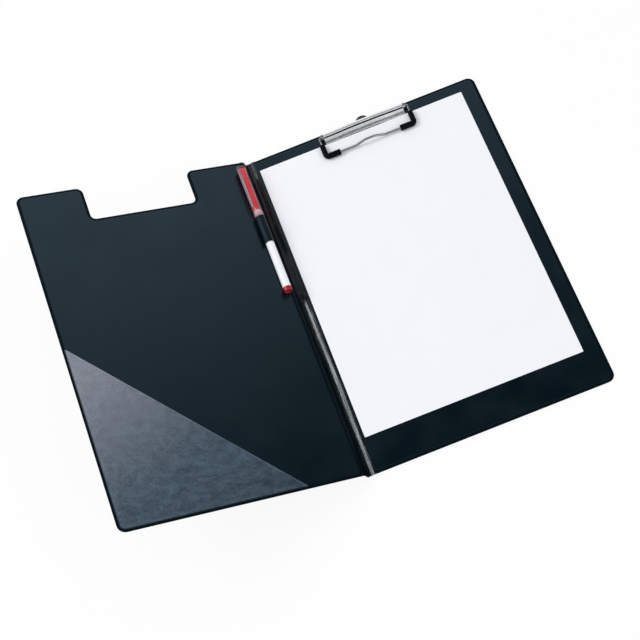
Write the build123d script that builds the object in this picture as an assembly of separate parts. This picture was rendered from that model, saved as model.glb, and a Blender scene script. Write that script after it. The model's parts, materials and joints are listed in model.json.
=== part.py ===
from build123d import *
import math
import os

# A clipboard folder: a film covered board with a wire clip, joined by a film spine
# to a folding front cover that carries a corner pocket and a pen in a loop.
# Millimetres. Origin: centre of the back panel's underside. +X points away from
# the spine, +Y towards the clip, +Z up. It lies open with its cover part raised.

# Panels
film = 0.3
board = 1.6
weld_rim = 2.5
core_gap = 0.1
panel_height = 345.0
back_width = 231.0
cover_width = 225.0
outer_corner = 7.5
spine_corner = 1.5

# Spine: two strips of film and three folds, angles above the table
fold_slit = 0.2
strip_back = 5.1
strip_cover = 7.95
strip_back_tilt = -8.0
strip_cover_tilt = 76.0
cover_tilt = 23.0

# Notch in the cover that leaves the clip free when it is shut
notch_from_spine = 58.8
notch_width = 102.6
notch_depth = 36.3
notch_ear_radius = 7.0
notch_inner_radius = 5.0

# Clear corner pocket on the cover
pocket_up = 182.0
pocket_along = 174.0
pocket_film = 0.25
pocket_room = 0.3
pocket_hem = 2.0
pocket_hem_height = 0.15

# Pen and the loop that holds it
pen_from_edge = 6.1
pen_from_top = 9.5
pen_plug_length = 4.5
pen_plug_radius = 4.1
pen_plug_spigot = 6.0
pen_barrel_length = 85.5
pen_barrel_radius = 4.0
pen_barrel_wall = 0.7
pen_spigot_play = 0.05
pen_spigot_length = 8.0
pen_section_length = 26.0
pen_section_radius = 3.2
pen_section_nose = 2.4
pen_tip_length = 13.0
pen_tip_end = 0.5
ink_radius = 2.8
ink_gap = 1.0
cap_overlap = 5.0
cap_length = 56.8
cap_radius = 4.6
cap_play = 0.1
cap_top = 1.4
liner_length = 49.0
liner_wall = 0.6
liner_play = 0.04
cap_clip_disc = 1.2
cap_clip_wide = 5.0
cap_clip_narrow = 2.6
cap_clip_length = 48.0
cap_clip_reach = 5.5
cap_clip_thickness = 0.7
cap_clip_turn = 54.0
loop_play = 0.3
loop_film = 0.4
loop_length = 30.0
loop_under_cap = 0.5
loop_foot_edge = 0.6

# Clip: plate rolled into a barrel, rivets, wire bail and its sleeves
clip_half_width = 43.6
clip_sheet = 0.8
clip_from_top = 5.2
clip_strip = 7.1
clip_barrel_radius = 3.1
clip_end_length = 10.0
bail_wire_radius = 1.2
bail_running = 0.1
bail_arm = 45.6
bail_inner_end = 32.0
bail_reach = 21.9
bail_exit_bend = 1.8
bail_corner_bend = 4.0
bail_hump_bend = 9.0
bail_hump_foot = 15.0
bail_hump_top = 5.0
bail_hump_height = 3.0
bail_hump_back = 1.0
sleeve_radius = 3.0
sleeve_flat = 0.6
sleeve_play = 0.03
sleeve_front_end = 31.0
sleeve_below_barrel = 8.3
sleeve_over_paper = 0.1
rivet_x = 22.0
rivet_head_radius = 1.5
rivet_head_height = 0.6
rivet_shank_radius = 1.0
rivet_play = 0.05
clinch_radius = 1.8
clinch_play = 0.2
clinch_recess = 0.1
clinch_height = 0.5

# Hanging eye that slides out from under the clip, placed from the clip's barrel
eye_sheet = 0.6
eye_under = 0.1
eye_over = 0.2
eye_radius = 7.0
eye_centre_above = 1.9
eye_front_below = 5.3
eye_ears_below = 5.7
eye_ear_depth = 1.6
eye_ear_half = 11.5
eye_hole_radius = 2.5
eye_hole_above = 2.4
eye_travel = 6.6
eye_stop_play = 0.1
eye_side_play = 0.3
bridge_side_play = 0.5
bridge_wall = 0.8

# Sheets of paper under the bail
sheet_width = 210.0
sheet_height = 297.0
sheet_stack = 0.3
sheet_gap = 0.05
sheet_from_spine = 4.8
sheet_below_clip = 0.2

# Worked out from the sizes above
half_panel = board / 2 + film
panel = 2 * half_panel
half_height = panel_height / 2
fold_gap = film + fold_slit
fold_back = Vector(-back_width / 2 - fold_gap, 0, half_panel)


def fold_step(start, length, tilt):
    angle = math.radians(tilt)
    return start + Vector(-length * math.cos(angle), 0, length * math.sin(angle))


fold_crease = fold_step(fold_back, strip_back, strip_back_tilt)
fold_cover = fold_step(fold_crease, strip_cover, strip_cover_tilt)
cover_place = Pos(fold_cover) * Rot(0, cover_tilt, 0)
cover_inner = -fold_gap
cover_outer = -fold_gap - cover_width
pen_top = half_height - pen_from_top
cap_end = pen_top - cap_clip_disc
cap_bottom = cap_end - cap_length
cap_bore = pen_barrel_radius + cap_play
barrel_top = cap_bottom + cap_overlap
barrel_bottom = barrel_top - pen_barrel_length
barrel_bore = pen_barrel_radius - pen_barrel_wall
pen_foot = barrel_bottom - pen_plug_length
section_top = barrel_top + pen_section_length
loop_bore = pen_barrel_radius + loop_play
loop_outer = loop_bore + loop_film
loop_top = cap_bottom - loop_under_cap
loop_bottom = loop_top - loop_length
pen_axis_x = cover_inner - pen_from_edge
pen_axis_z = half_panel + loop_outer
pen_place = cover_place * Pos(pen_axis_x, 0, pen_axis_z) * Rot(-90, 0, 0)
clip_barrel_y = half_height - clip_from_top
clip_front = clip_barrel_y - clip_strip
clip_barrel_z = panel + clip_barrel_radius
clip_bore = clip_barrel_radius - clip_sheet
sheet_top_z = panel + sheet_gap + sheet_stack
bail_front_y = clip_barrel_y - bail_reach
sleeve_bottom = sheet_top_z + sleeve_over_paper
bail_front_z = sleeve_bottom + sleeve_radius - sleeve_flat
sleeve_arm_end = clip_barrel_y - sleeve_below_barrel
eye_centre_y = clip_barrel_y + eye_centre_above
eye_front = clip_barrel_y - eye_front_below
eye_ear_front = clip_barrel_y - eye_ears_below
bridge_rise = eye_under + eye_sheet + eye_over
bridge_half = eye_ear_half + bridge_side_play + bridge_wall


def rounded_outline(corners):
    face = make_face(Polyline(*[(x, y) for x, y, radius in corners], close=True))
    for x, y, radius in corners:
        corner = face.vertices().sort_by_distance((x, y, 0))[0]
        face = fillet(corner, radius)
    return face


def slab(outline, bottom, top):
    return Pos(0, 0, bottom) * extrude(outline, amount=top - bottom, dir=(0, 0, 1))


def block(low, high):
    size = [high[i] - low[i] for i in range(3)]
    return Pos(*low) * Box(*size, align=(Align.MIN, Align.MIN, Align.MIN))


def rod(radius, bottom, top):
    return Pos(0, 0, bottom) * Cylinder(radius, top - bottom, align=(Align.CENTER, Align.CENTER, Align.MIN))


def cone(low_radius, high_radius, bottom, top):
    return Pos(0, 0, bottom) * Cone(
        low_radius, high_radius, top - bottom, align=(Align.CENTER, Align.CENTER, Align.MIN)
    )


def along_y(section, start, end):
    return Pos(0, end, 0) * extrude(Plane.XZ * section, amount=end - start)


def along_x(section, start, end):
    return Pos(start, 0, 0) * extrude(Plane.YZ * section, amount=end - start)


def back_outline():
    edge = back_width / 2
    return rounded_outline([
        (-edge, -half_height, spine_corner),
        (edge, -half_height, outer_corner),
        (edge, half_height, outer_corner),
        (-edge, half_height, spine_corner),
    ])


def cover_outline():
    notch_near = cover_inner - notch_from_spine
    notch_far = notch_near - notch_width
    notch_floor = half_height - notch_depth
    return rounded_outline([
        (cover_inner, -half_height, spine_corner),
        (cover_inner, half_height, spine_corner),
        (notch_near, half_height, notch_ear_radius),
        (notch_near, notch_floor, notch_inner_radius),
        (notch_far, notch_floor, notch_inner_radius),
        (notch_far, half_height, notch_ear_radius),
        (cover_outer, half_height, outer_corner),
        (cover_outer, -half_height, outer_corner),
    ])


# A panel is drawn about its middle plane: lining above, skin below, core between
def lining(outline):
    raised = offset(outline, amount=-weld_rim)
    core_space = offset(outline, amount=-weld_rim - film)
    return slab(outline, 0, film) + slab(raised, 0, half_panel) - slab(core_space, 0, half_panel - film)


def skin(outline):
    return mirror(lining(outline), about=Plane.XY)


def core(outline):
    return slab(offset(outline, amount=-weld_rim - film - core_gap), -board / 2, board / 2)


def rivet_spots():
    return [Pos(side * rivet_x, clip_barrel_y, 0) for side in (-1, 1)]


def drilled(solid, radius, bottom, top):
    for spot in rivet_spots():
        solid -= spot * rod(radius, bottom, top)
    return solid


def back_panel_parts():
    outline = back_outline()
    lift = Pos(0, 0, half_panel)
    hole = rivet_shank_radius + rivet_play
    dimple = clinch_radius + clinch_play
    dimple_top = clinch_recess + clinch_height
    outer = drilled(lift * skin(outline), dimple, 0, dimple_top)
    middle = drilled(lift * core(outline), dimple, 0, dimple_top)
    return {
        "back_outer_skin": outer,
        "back_board_core": drilled(middle, hole, 0, panel),
        "back_inner_lining": drilled(lift * lining(outline), hole, 0, panel),
    }


def corner_pocket():
    outline = cover_outline()
    corner = [(cover_outer, -half_height), (cover_outer, pocket_up - half_height),
              (cover_outer + pocket_along, -half_height)]
    triangle = make_face(Polyline(*corner, close=True))
    share = pocket_along / pocket_up
    hem_step = pocket_hem * math.hypot(1, share)
    inside = offset(outline, amount=-weld_rim)
    around = offset(outline, amount=-weld_rim + pocket_film)
    roof = half_panel + pocket_room
    pocket = slab(triangle & outline, film, film + pocket_film)
    pocket += slab(triangle & around, film, roof + pocket_film)
    past_hem = Pos(pocket_hem, pocket_hem) * triangle
    pocket -= slab((triangle + past_hem) & inside, film, roof)
    hem = (triangle - Pos(-hem_step, 0) * triangle) & inside
    return pocket + slab(hem, roof + pocket_film, roof + pocket_film + pocket_hem_height)


def pen_loop():
    step_x = cover_inner - weld_rim
    section = Pos(pen_axis_x, pen_axis_z) * Circle(loop_outer)
    section += Pos(pen_axis_x, half_panel) * Rectangle(
        step_x + loop_film - pen_axis_x, loop_film, align=(Align.MIN, Align.MIN)
    )
    section += Pos(step_x, film) * Rectangle(
        loop_film, half_panel - film + loop_film, align=(Align.MIN, Align.MIN)
    )
    section += Pos(step_x, film) * Rectangle(
        weld_rim - loop_foot_edge, loop_film, align=(Align.MIN, Align.MIN)
    )
    section -= Pos(pen_axis_x, pen_axis_z) * Circle(loop_bore)
    return along_y(section, loop_bottom, loop_top)


def cover_parts():
    outline = cover_outline()
    flat = {
        "cover_outer_skin": skin(outline),
        "cover_board_core": core(outline),
        "cover_inner_lining": lining(outline),
        "corner_pocket": corner_pocket(),
        "pen_loop": pen_loop(),
    }
    return {name: cover_place * solid for name, solid in flat.items()}


# Each strip is two films thick; its ends are round about the folds it turns on
def spine_strip(start, length, tilt, flat_start):
    body_start = fold_gap if flat_start else 0
    section = Pos(body_start, 0) * Rectangle(
        length - body_start, 2 * film, align=(Align.MIN, Align.CENTER)
    )
    section += Pos(length, 0) * Circle(film)
    if not flat_start:
        section += Circle(film)
    placed = Pos(start.X, start.Z) * Rot(0, 0, 180 - tilt) * section
    return along_y(placed, -half_height, half_height)


def spine_parts():
    return {
        "spine_strip_back": spine_strip(fold_back, strip_back, strip_back_tilt, False),
        "spine_strip_cover": spine_strip(fold_crease, strip_cover, strip_cover_tilt, True),
    }


def clip_section(rise, bore):
    middle = Pos(clip_barrel_y, clip_barrel_z + rise)
    strip = Pos(clip_front, panel + rise) * Rectangle(
        clip_barrel_y - clip_front, clip_sheet, align=(Align.MIN, Align.MIN)
    )
    return strip + middle * Circle(clip_barrel_radius) - middle * Circle(bore)


def clip_plate():
    end_start = clip_half_width - clip_end_length
    wire_bore = bail_wire_radius + bail_running
    stop_y = eye_ear_front + eye_ear_depth + eye_travel + eye_stop_play
    stop_x = eye_radius + eye_side_play
    wall_top = panel + bridge_rise + clip_sheet
    plate = along_x(clip_section(bridge_rise, clip_bore), -bridge_half, bridge_half)
    for side in (-1, 1):
        low, high = sorted((side * bridge_half, side * end_start))
        plate += along_x(clip_section(0, clip_bore), low, high)
        low, high = sorted((side * end_start, side * clip_half_width))
        plate += along_x(clip_section(0, wire_bore), low, high)
        low, high = sorted((side * (bridge_half - bridge_wall), side * bridge_half))
        plate += block((low, clip_front, panel), (high, stop_y + bridge_wall, wall_top))
        low, high = sorted((side * stop_x, side * bridge_half))
        plate += block((low, stop_y, panel), (high, stop_y + bridge_wall, wall_top))
    seat = rivet_head_radius + rivet_play
    seat_z = panel + clip_sheet
    for spot in rivet_spots():
        plate -= spot * block((-seat, -seat, seat_z), (seat, seat, clip_barrel_z))
    return drilled(plate, rivet_shank_radius + rivet_play, 0, seat_z)


def rivet():
    seat_z = panel + clip_sheet
    clinch_top = clinch_recess + clinch_height
    body = rod(rivet_shank_radius, clinch_recess, seat_z)
    body += rod(clinch_radius, clinch_recess, clinch_top)
    return body + rod(rivet_head_radius, seat_z, seat_z + rivet_head_height)


def bail_path():
    barrel = (clip_barrel_y, clip_barrel_z)
    front = (bail_front_y, bail_front_z)
    top = (bail_front_y + bail_hump_back, bail_front_z + bail_hump_height)
    half = [(bail_inner_end, *barrel), (bail_arm, *barrel), (bail_arm, *front),
            (bail_hump_foot, *front), (bail_hump_top, *top)]
    points = half + [(-x, y, z) for x, y, z in reversed(half)]
    bends = [bail_exit_bend, bail_corner_bend, bail_hump_bend, bail_hump_bend]
    return FilletPolyline(*points, radius=bends + bends[::-1])


def bail_wire():
    path = bail_path()
    start = Plane(origin=path @ 0, z_dir=path % 0)
    return sweep(start * Circle(bail_wire_radius), path=path)


def bail_sleeve(side):
    slope = (bail_front_z - clip_barrel_z) / (bail_front_y - clip_barrel_y)
    arm_z = clip_barrel_z + slope * (sleeve_arm_end - clip_barrel_y)
    points = [(side * bail_arm, sleeve_arm_end, arm_z), (side * bail_arm, bail_front_y, bail_front_z),
              (side * sleeve_front_end, bail_front_y, bail_front_z)]
    path = FilletPolyline(*points, radius=bail_corner_bend)
    ring = Circle(sleeve_radius) - Circle(bail_wire_radius + sleeve_play)
    tube = sweep(Plane(origin=path @ 0, z_dir=path % 0) * ring, path=path)
    reach = bail_arm + 2 * sleeve_radius
    pressed = block((-reach, bail_front_y - 2 * sleeve_radius, 0), (reach, clip_barrel_y, sleeve_bottom))
    return tube - pressed


def hanging_eye():
    shape = Pos(0, eye_centre_y) * Circle(eye_radius)
    shape -= Pos(0, eye_front) * Rectangle(
        2 * eye_radius, 2 * eye_radius, align=(Align.CENTER, Align.MAX)
    )
    shape += Pos(0, eye_front) * Rectangle(
        2 * eye_radius, eye_centre_y - eye_front, align=(Align.CENTER, Align.MIN)
    )
    shape += Pos(0, eye_ear_front) * Rectangle(
        2 * eye_ear_half, eye_ear_depth, align=(Align.CENTER, Align.MIN)
    )
    shape -= Pos(0, clip_barrel_y + eye_hole_above) * Circle(eye_hole_radius)
    bottom = panel + eye_under
    return slab(shape, bottom, bottom + eye_sheet)


def clip_parts():
    rivets = [spot * rivet() for spot in rivet_spots()]
    return {
        "clip_plate": clip_plate(),
        "clip_rivets": Compound(children=rivets),
        "bail_wire": bail_wire(),
        "bail_sleeve_left": bail_sleeve(-1),
        "bail_sleeve_right": bail_sleeve(1),
        "hanging_eye": hanging_eye(),
    }


def paper_sheets():
    left = sheet_from_spine - back_width / 2
    top = clip_front - sheet_below_clip
    bottom = panel + sheet_gap
    return block((left, top - sheet_height, bottom), (left + sheet_width, top, bottom + sheet_stack))


def cap_clip():
    disc = rod(cap_radius, cap_end, cap_end + cap_clip_disc)
    top = cap_end + cap_clip_disc
    inner = cap_clip_reach - cap_clip_thickness
    bridge = block((0, -cap_clip_wide / 2, cap_end), (cap_clip_reach, cap_clip_wide / 2, top))
    tongue = make_face(Polyline(
        (cap_clip_wide / 2, top),
        (-cap_clip_wide / 2, top),
        (-cap_clip_narrow / 2, top - cap_clip_length),
        (cap_clip_narrow / 2, top - cap_clip_length),
        close=True,
    ))
    blade = extrude(Plane.YZ * tongue, amount=cap_clip_thickness, dir=(1, 0, 0))
    return Rot(0, 0, -90 - cap_clip_turn) * (disc + bridge + Pos(inner, 0, 0) * blade)


def pen_parts():
    spigot = barrel_bore - pen_spigot_play
    section_bottom = barrel_top - pen_spigot_length
    ink_bottom = barrel_bottom + pen_plug_spigot + ink_gap
    liner_bottom = cap_end - cap_top - liner_length
    liner_radius = cap_bore - liner_play
    liner_end = cap_end - cap_top
    flat = {
        "pen_barrel": rod(pen_barrel_radius, barrel_bottom, barrel_top)
        - rod(barrel_bore, barrel_bottom, barrel_top),
        "pen_end_plug": rod(pen_plug_radius, pen_foot, barrel_bottom)
        + rod(spigot, barrel_bottom, barrel_bottom + pen_plug_spigot),
        "pen_section": rod(spigot, section_bottom, barrel_top)
        + cone(pen_section_radius, pen_section_nose, barrel_top, section_top),
        "pen_tip": cone(pen_section_nose, pen_tip_end, section_top, section_top + pen_tip_length),
        "pen_ink_reservoir": rod(ink_radius, ink_bottom, section_bottom),
        "pen_cap": rod(cap_radius, cap_bottom, cap_end) - rod(cap_bore, cap_bottom, cap_end - cap_top),
        "pen_cap_liner": rod(liner_radius, liner_bottom, liner_end)
        - rod(liner_radius - liner_wall, liner_bottom, liner_end - cap_top),
        "pen_cap_clip": cap_clip(),
    }
    return {name: pen_place * solid for name, solid in flat.items()}


def write(parts):
    os.makedirs("parts", exist_ok=True)
    for name, solid in parts.items():
        export_step(solid, "parts/" + name + ".step")


print("back fold", fold_back, "crease", fold_crease, "cover fold", fold_cover)
write(back_panel_parts())
write(spine_parts())
write(cover_parts())
write(clip_parts())
write({"paper_sheets": paper_sheets()})
write(pen_parts())
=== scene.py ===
import json
import math

import bmesh
import bpy
from mathutils import Matrix, Vector, noise


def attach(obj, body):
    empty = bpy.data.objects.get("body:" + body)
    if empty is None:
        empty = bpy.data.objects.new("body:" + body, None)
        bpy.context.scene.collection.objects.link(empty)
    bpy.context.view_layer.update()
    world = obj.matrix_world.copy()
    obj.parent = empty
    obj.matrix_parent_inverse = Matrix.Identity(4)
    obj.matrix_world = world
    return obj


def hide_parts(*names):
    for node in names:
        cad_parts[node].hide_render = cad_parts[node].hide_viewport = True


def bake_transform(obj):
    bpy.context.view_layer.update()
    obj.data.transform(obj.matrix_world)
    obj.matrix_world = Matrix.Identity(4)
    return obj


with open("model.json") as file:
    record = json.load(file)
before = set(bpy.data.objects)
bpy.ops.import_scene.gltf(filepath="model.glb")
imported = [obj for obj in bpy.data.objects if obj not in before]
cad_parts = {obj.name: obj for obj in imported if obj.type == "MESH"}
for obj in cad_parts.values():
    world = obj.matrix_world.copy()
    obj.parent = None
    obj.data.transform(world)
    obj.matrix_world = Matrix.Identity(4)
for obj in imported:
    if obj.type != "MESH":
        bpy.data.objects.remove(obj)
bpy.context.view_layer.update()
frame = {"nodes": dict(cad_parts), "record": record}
mm = 0.001  # shapes are given in millimetres, the scene is in metres
hair = 0.0001  # points nearer than this are one

panelSize = {  # the two welded panels
    "halfHeight": 172.5, "backHalf": 115.5, "coverWidth": 225.0, "coverInner": -0.5, "halfPanel": 1.1,
    "outerCorner": 7.5, "spineCorner": 1.5, "coverTilt": 23.0,
    "notchFromSpine": 58.8, "notchWidth": 102.6, "notchDepth": 36.3, "notchEar": 7.0, "notchInner": 5.0,
}
foldSize = {  # the spine's two strips of film, angles above the table
    "start": (-116.0, 1.1), "backStrip": 5.1, "backSlope": -8.0, "coverStrip": 7.95, "coverSlope": 76.0,
}


def upStrip(start, far, slope):  # x and z at the far end of a strip
    angle = math.radians(slope)
    return Vector((start[0] - far * math.cos(angle), start[1] + far * math.sin(angle)))


backFold = Vector(foldSize["start"])
creaseFold = upStrip(backFold, foldSize["backStrip"], foldSize["backSlope"])
coverFold = upStrip(creaseFold, foldSize["coverStrip"], foldSize["coverSlope"])
coverTurn = Matrix.Rotation(math.radians(panelSize["coverTilt"]), 4, "Y")
coverPlace = Matrix.Translation((coverFold.x, 0, coverFold.y)) @ coverTurn
backPlace = Matrix.Translation((0, 0, panelSize["halfPanel"]))
coverOuter = panelSize["coverInner"] - panelSize["coverWidth"]
print("frame loaded:", len(frame["nodes"]), "nodes")


class Wire:  # a node's output, which sums can be written with
    def __init__(self, sheet, socket):
        self.sheet = sheet
        self.socket = socket

    def __add__(self, other):
        return self.sheet.reckon("ADD", self, other)

    def __sub__(self, other):
        return self.sheet.reckon("SUBTRACT", self, other)

    def __rsub__(self, other):
        return self.sheet.reckon("SUBTRACT", other, self)

    def __mul__(self, other):
        return self.sheet.reckon("MULTIPLY", self, other)

    __radd__ = __add__
    __rmul__ = __mul__


class Sheet:  # a node tree while its nodes are laid out
    def __init__(self, tree):
        self.tree = tree

    def plug(self, socket, value):
        if isinstance(value, Wire):
            self.tree.links.new(value.socket, socket)
        elif socket.type == "RGBA" and len(value) == 3:
            socket.default_value = (*value, 1)
        else:
            socket.default_value = value

    def node(self, kind, settings=None, sockets=None, output=0):
        made = self.tree.nodes.new(kind)
        for name, value in (settings or {}).items():
            setattr(made, name, value)
        for name, value in (sockets or {}).items():
            self.plug(made.inputs[name], value)
        return Wire(self, made.outputs[output]) if len(made.outputs) else None

    def allOf(self, wire):  # every output of the node that a wire comes from, by name
        return {socket.name: Wire(self, socket) for socket in wire.socket.node.outputs}

    def reckon(self, operation, first, second):
        return self.node("ShaderNodeMath", {"operation": operation}, {0: first, 1: second})

    def larger(self, first, second):
        return self.reckon("MAXIMUM", first, second)

    def vector(self, operation, first, second=None, output=0):
        sockets = {0: first} if second is None else {0: first, 1: second}
        return self.node("ShaderNodeVectorMath", {"operation": operation}, sockets, output)

    def apart(self, vector):  # the X, Y and Z of a vector
        return self.allOf(self.node("ShaderNodeSeparateXYZ", None, {0: vector}))

    def spot(self, stretch=(1, 1, 1)):  # object coordinates, stretched
        return self.vector("MULTIPLY", self.node("ShaderNodeTexCoord", output="Object"), stretch)

    def noise(self, scale, detail=3.0, roughness=0.5, stretch=(1, 1, 1)):
        sockets = {"Vector": self.spot(stretch), "Scale": scale, "Detail": detail, "Roughness": roughness}
        return self.node("ShaderNodeTexNoise", None, sockets)

    def cells(self, scale):
        return self.node("ShaderNodeTexVoronoi", None, {"Vector": self.spot(), "Scale": scale})

    def fit(self, value, low, high, newLow, newHigh, curve="LINEAR"):
        sockets = {0: value, 1: low, 2: high, 3: newLow, 4: newHigh}
        return self.node("ShaderNodeMapRange", {"clamp": True, "interpolation_type": curve}, sockets)

    def uneven(self, scale, detail, low, high):  # a value that wanders over the surface
        return self.fit(self.noise(scale, detail), 0.3, 0.7, low, high)

    def mixed(self, factor, first, second):
        return self.node("ShaderNodeMix", {"data_type": "RGBA"}, {0: factor, 6: first, 7: second}, 2)

    def glow(self, colour, strength, kind="ShaderNodeEmission"):
        return self.node(kind, None, {"Color": colour, "Strength": strength})

    def blend(self, factor, first, second):  # two shaders
        return self.node("ShaderNodeMixShader", None, {0: factor, 1: first, 2: second})


class Finish(Sheet):  # one material
    def __init__(self, name, constants):
        self.material = bpy.data.materials.new(name)
        self.material.use_nodes = True
        super().__init__(self.material.node_tree)
        self.shader = self.tree.nodes["Principled BSDF"]
        self.surface(constants)

    def surface(self, values):
        for name, value in values.items():
            self.plug(self.shader.inputs[name], value)

    def bumped(self, height, distance, strength):
        sockets = {"Height": height, "Distance": distance, "Strength": strength}
        self.surface({"Normal": self.node("ShaderNodeBump", None, sockets)})


def tint(red, green, blue):  # screen colour, 0 to 255, to scene colour
    shares = [level / 255 for level in (red, green, blue)]
    return tuple(x / 12.92 if x <= 0.04045 else ((x + 0.055) / 1.055) ** 2.4 for x in shares)


def shaded(colour, share):  # the same colour, darker or paler
    return tuple(share * level for level in colour)


vinylLook = {
    "dark": tint(0, 9, 17), "light": tint(1, 14, 22), "sheen": (0.52, 0.78, 1.0),
    "patches": 9, "smudges": 22, "spread": 0.1, "pebbles": 2600, "grit": 900, "bump": 0.00006,
}


def vinylFinish(name, shine, gloss, grain):  # shine is roughness, gloss the mirror's level
    look = vinylLook
    made = Finish(name, {"Specular IOR Level": gloss, "IOR": 1.5, "Specular Tint": look["sheen"]})
    pebbles = made.cells(look["pebbles"]) * 0.6 + made.noise(look["grit"], 2) * 0.5
    made.surface({
        "Base Color": made.mixed(made.noise(look["patches"], 4), look["dark"], look["light"]),
        "Roughness": made.uneven(look["smudges"], 5, shine, shine + look["spread"]),
    })
    made.bumped(pebbles, look["bump"], grain)
    return made.material


spineLook = {
    "dark": tint(1, 10, 17), "sheen": (0.88, 0.95, 1.0), "gloss": 0.75, "shine": (0.17, 0.27),
    "smudges": 60, "smudgeStretch": (1, 0.3, 1), "creases": 700, "creaseStretch": (1, 0.03, 1),
    "bump": 0.0004,
}


def spineFinish():  # glossier film with long soft creases
    look = spineLook
    constants = {"Specular IOR Level": look["gloss"], "IOR": 1.5, "Specular Tint": look["sheen"]}
    made = Finish("spineVinyl", constants)
    smudges = made.noise(look["smudges"], 4, 0.5, look["smudgeStretch"])
    made.surface({"Base Color": look["dark"], "Roughness": made.fit(smudges, 0.35, 0.65, *look["shine"])})
    made.bumped(made.noise(look["creases"], 3, 0.55, look["creaseStretch"]), look["bump"], 0.7)
    return made.material


pocketSize = {  # a triangle of film across the cover's lower outer corner
    "up": 182.0, "along": 174.0, "film": 0.25, "hem": 2.0, "hemHeight": 0.15, "hemSlope": 0.3, "corner": 7.5,
    "weld": 0.56, "roof": 1.65, "wave": 0.12, "calm": 12, "rimCalm": 3, "cornerSteps": 8, "least": 0.02,
    "slope": [(0, 0.0), (1.9, 0.0), (2.3, 0.06), (2.6, 0.45), (2.9, 0.85), (3.4, 1.0)],
    "rimInsets": [0.25, 0.9, 1.9, 2.1, 2.3, 2.45, 2.6, 2.75, 2.9, 3.15, 3.4, 4.2, 6],
    "flatFrom": 9, "flatRings": 22,
    "hemShares": [0, 0.0012, 0.004, 0.0105, 0.0118, 0.0135, 0.02], "edgeFrom": 0.04, "edgeSteps": 30,
}
pocketLook = {  # haze and painted sheen are shares, distances are in metres
    "paintedLitTint": tint(152, 157, 170), "paintedShadeTint": tint(106, 128, 146), "weldClear": (0.0018, 0.0040),
    "lowPaintedSheen": (-0.08, 0.03, 0.14, 0.25), "highPaintedSheen": (0.03, 0.15, 0.0, 0.30), "lean": 0.55, "paintedLightSpan": 0.14,
    "mottleLow": 0.06, "mottleHigh": 0.03, "hemHaze": (0.0, 0.0016, 0.16, 0.0),
    "rimPaintedHighlight": (0.003, 0.008, 0.06, 0.0), "coarse": 150, "fine": 700, "stretch": (0.7, 1, 0.7),
    "ripple": 45, "bump": 0.0002,
}


def pocketFinish():  # painted sheen: hazier and lighter towards the top and outer edge; clear where it is welded down
    look = pocketLook
    up, along, corner = (pocketSize[name] * mm for name in ("up", "along", "corner"))
    made = Finish("clearFilm", {"IOR": 1.46, "Specular IOR Level": 0.5})
    here = made.spot()
    axis = coverPlace.col[0].xyz
    start = coverPlace.translation.dot(axis) * mm + coverOuter * mm
    inward = made.vector("DOT_PRODUCT", here, axis, "Value") - start
    upward = made.apart(here)["Y"] + panelSize["halfHeight"] * mm
    short = made.node("ShaderNodeCombineXYZ", None, {0: corner - inward, 1: corner - upward})
    short = made.vector("LENGTH", made.vector("MAXIMUM", short, (0, 0, 0)), None, "Value")
    inset = corner - short
    fromHem = (1.0 - inward * (1 / along) - upward * (1 / up)) * (1 / math.hypot(1 / up, 1 / along))

    # painted light: the film's tint and haze grow lighter and warmer towards the top and outer edge, standing
    # in for the light it reflects there
    reach = upward - inward * look["lean"]
    drift = made.fit(reach, 0.0, look["paintedLightSpan"], 0.0, 1.0)
    coarse = made.noise(look["coarse"], 8, 0.78, look["stretch"])
    fine = made.noise(look["fine"], 5, 0.75, look["stretch"])
    clouds = coarse * 0.7 + fine * 0.3
    strength = made.fit(drift, 0.0, 1.0, look["mottleLow"], look["mottleHigh"])
    mottle = made.fit(clouds, 0.42, 0.58, -1.0, 1.0) * strength
    # the haze is mostly painted sheen from that grading, plus random mottle, the hem and a painted highlight
    # along the rim
    haze = made.fit(reach, *look["lowPaintedSheen"]) + made.fit(reach, *look["highPaintedSheen"]) + mottle
    # painted highlight: a lighter band a few millimetres in from the welded rim
    haze = haze + made.fit(fromHem, *look["hemHaze"]) + made.fit(inset, *look["rimPaintedHighlight"])
    deep = made.mixed(drift, shaded(look["paintedShadeTint"], 0.86), shaded(look["paintedLitTint"], 0.94))
    pale = made.mixed(drift, shaded(look["paintedShadeTint"], 1.16), shaded(look["paintedLitTint"], 1.06))
    made.surface({
        "Base Color": made.mixed(made.fit(clouds, 0.4, 0.6, 0.0, 1.0), deep, pale),
        "Alpha": haze * made.fit(inset, *look["weldClear"], 0.0, 1.0, "SMOOTHSTEP"),
        "Roughness": made.fit(fine, 0.3, 0.7, 0.2, 0.36),
    })
    made.bumped(made.noise(look["ripple"], 5) + coarse * 0.4, look["bump"], 0.35)
    return made.material


clearLook = {  # the pen cap's plastic, heights along the pen
    "cap": (0.6, 0.45, 0.5), "capHaze": (0.03, 0.34), "mouth": (106.0, 113.5), "mouthHaze": 0.54,
    "mouthBlush": (0.56, 0.26, 0.32),
    "blade": (0.36, 0.37, 0.42), "bladeHaze": (0.5, 0.7), "bladeFade": (146, 159), "bladeLeft": 0.25,
    "turned": (0.45, 0.95), "patches": 90, "dark": 0.92, "smudges": 300, "shine": (0.1, 0.22),
    "pores": 900, "bump": 0.00003,
}


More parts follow.
